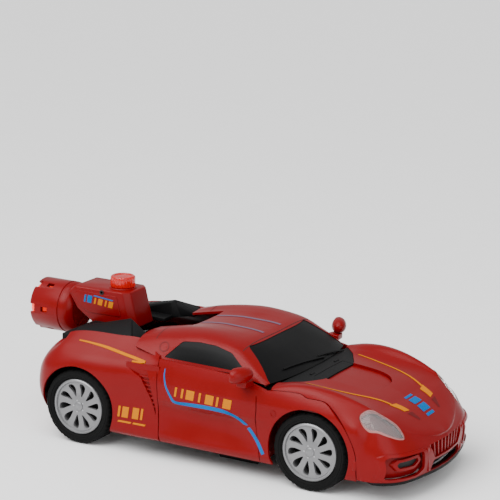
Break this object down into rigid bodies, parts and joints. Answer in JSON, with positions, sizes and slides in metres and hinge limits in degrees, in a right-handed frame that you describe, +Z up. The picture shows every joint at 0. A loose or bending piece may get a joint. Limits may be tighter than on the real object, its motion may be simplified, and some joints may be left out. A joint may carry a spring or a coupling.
{
  "type": "transforming robot car",
  "caption": "Toy sports car whose front half lifts to stand up as a robot, with side-door arms, pop-up head, rear spray turret and a swivelling foot caster.",
  "frame": {"origin": "on the floor under the middle of the car's length and width, car folded flat", "axes": "+X towards the car's nose, +Y to its left, +Z up"},
  "size_m": [0.306, 0.15, 0.0994],
  "materials": {
    "red_plastic": "satin gloss moulded",
    "black_plastic": "fine texture",
    "black_gloss": "satin",
    "silver_plastic": "silver paint",
    "gold_plastic": "gold paint",
    "clear_red": "translucent",
    "clear_lens": "clear",
    "rubber": "matt",
    "white_plastic": "satin",
    "steel": "brushed",
    "board_green": "solder mask",
    "cell_wrap": "shrink wrap",
    "tank_plastic": "milky"
  },
  "bodies": {
    "base": {"base_tub": "black_plastic", "battery_pack": "cell_wrap", "battery_cover": "black_plastic", "drive_gearbox": "black_plastic", "drive_motors": "steel", "lift_gearbox": "black_plastic", "circuit_board": "board_green", "water_tank": "tank_plastic", "rear_quarters": "red_plastic", "rear_bumper": "red_plastic", "rear_deck": "black_plastic", "tail_lights": "clear_red", "base_side_panels": "red_plastic", "shin_boxes": "black_plastic", "shin_plates": "silver_plastic", "foot_block": "black_plastic", "toe_caps": "red_plastic", "turret_shell": "red_plastic", "nozzle": "red_plastic", "nozzle_lens": "clear_red", "waist_pin": "steel"},
    "lift_pinion": {"lift_pinion": "white_plastic"},
    "torso": {"torso_frame": "black_plastic", "lift_gear": "white_plastic", "thigh_plates": "silver_plastic", "thigh_tips": "red_plastic", "waist_guard": "gold_plastic", "chest_plate": "red_plastic", "chest_studs": "silver_plastic"},
    "chest": {"hood_shell": "red_plastic", "front_bumper": "red_plastic", "front_grille": "black_plastic", "headlight_lenses": "clear_lens", "chest_carrier": "black_plastic", "hinge_brackets": "black_plastic"},
    "head": {"hood_hatch": "red_plastic", "helmet": "red_plastic", "face_mask": "gold_plastic", "head_post": "black_plastic"},
    "roof": {"roof_shell": "red_plastic", "windshield": "black_gloss", "side_windows": "black_gloss"},
    "shoulder_left": {"shoulder_left": "black_plastic"},
    "shoulder_right": {"shoulder_right": "black_plastic"},
    "arm_left": {"arm_shell_left": "red_plastic", "arm_liner_left": "red_plastic"},
    "arm_right": {"arm_shell_right": "red_plastic", "arm_liner_right": "red_plastic"},
    "wheel_front_left": {"tyre_front_left": "rubber", "rim_front_left": "silver_plastic"},
    "wheel_front_right": {"tyre_front_right": "rubber", "rim_front_right": "silver_plastic"},
    "wheel_rear_left": {"tyre_rear_left": "rubber", "rim_rear_left": "silver_plastic"},
    "wheel_rear_right": {"tyre_rear_right": "rubber", "rim_rear_right": "silver_plastic"},
    "caster_fork": {"caster_fork": "white_plastic"},
    "caster_wheel": {"caster_wheel": "white_plastic"},
    "filler_cap": {"filler_cap": "clear_red"},
    "power_switch": {"power_switch": "black_gloss"}
  },
  "joints": [
    {"name": "torso_lift", "type": "hinge", "parent": "base", "child": "torso", "pos_m": [-0.001, 0, 0.04], "axis": [0, -1, 0], "range_deg": [0, 90]},
    {"name": "lift_pinion_spin", "type": "hinge", "parent": "base", "child": "lift_pinion", "pos_m": [-0.022, 0, 0.04], "axis": [0, -1, 0], "range_deg": [-226, 1]},
    {"name": "chest_level", "type": "hinge", "parent": "torso", "child": "chest", "pos_m": [0.127, 0, 0.035], "axis": [0, -1, 0], "range_deg": [-87, 1]},
    {"name": "head_raise", "type": "hinge", "parent": "chest", "child": "head", "pos_m": [0.066, 0, 0.06], "axis": [0, -1, 0], "range_deg": [-1, 94]},
    {"name": "roof_swing", "type": "hinge", "parent": "chest", "child": "roof", "pos_m": [0.053, 0, 0.057], "axis": [0, -1, 0], "range_deg": [-1, 90]},
    {"name": "shoulder_level_left", "type": "hinge", "parent": "torso", "child": "shoulder_left", "pos_m": [0.116, 0.026, 0.039], "axis": [0, -1, 0], "range_deg": [-91, 1]},
    {"name": "shoulder_level_right", "type": "hinge", "parent": "torso", "child": "shoulder_right", "pos_m": [0.116, -0.026, 0.039], "axis": [0, -1, 0], "range_deg": [-91, 1]},
    {"name": "arm_slide_left", "type": "slide", "parent": "shoulder_left", "child": "arm_left", "axis": [0, 1, 0], "range_m": [-0.0002, 0.0182]},
    {"name": "arm_slide_right", "type": "slide", "parent": "shoulder_right", "child": "arm_right", "axis": [0, -1, 0], "range_m": [-0.0002, 0.0182]},
    {"name": "wheel_front_left_spin", "type": "hinge", "parent": "arm_left", "child": "wheel_front_left", "pos_m": [0.0865, 0.05, 0.0248], "axis": [0, 1, 0], "continuous": true},
    {"name": "wheel_front_right_spin", "type": "hinge", "parent": "arm_right", "child": "wheel_front_right", "pos_m": [0.0865, -0.05, 0.0248], "axis": [0, 1, 0], "continuous": true},
    {"name": "wheel_rear_left_spin", "type": "hinge", "parent": "base", "child": "wheel_rear_left", "pos_m": [-0.0815, 0.05, 0.0248], "axis": [0, 1, 0], "continuous": true},
    {"name": "wheel_rear_right_spin", "type": "hinge", "parent": "base", "child": "wheel_rear_right", "pos_m": [-0.0815, -0.05, 0.0248], "axis": [0, 1, 0], "continuous": true},
    {"name": "caster_swivel", "type": "hinge", "parent": "base", "child": "caster_fork", "pos_m": [0.04, 0, 0.012], "axis": [0, 0, 1], "continuous": true},
    {"name": "caster_roll", "type": "hinge", "parent": "caster_fork", "child": "caster_wheel", "pos_m": [0.0355, 0, 0.0046], "axis": [0, 1, 0], "continuous": true},
    {"name": "filler_cap_lift", "type": "slide", "parent": "base", "child": "filler_cap", "axis": [0, 0, 1], "range_m": [0, 0.012]},
    {"name": "power_switch_slide", "type": "slide", "parent": "base", "child": "power_switch", "axis": [0, 1, 0], "range_m": [0, 0.004]}
  ],
  "couplings": [
    {"joint": "lift_pinion_spin", "follows": "torso_lift", "ratio": -2.5},
    {"joint": "chest_level", "follows": "torso_lift", "ratio": -0.95556},
    {"joint": "head_raise", "follows": "torso_lift", "ratio": 1.0333},
    {"joint": "roof_swing", "follows": "torso_lift", "ratio": 0.97778},
    {"joint": "shoulder_level_left", "follows": "torso_lift", "ratio": -1},
    {"joint": "shoulder_level_right", "follows": "torso_lift", "ratio": -1},
    {"joint": "arm_slide_left", "follows": "torso_lift", "m_per_rad": 0.0115},
    {"joint": "arm_slide_right", "follows": "torso_lift", "m_per_rad": 0.0115}
  ]
}
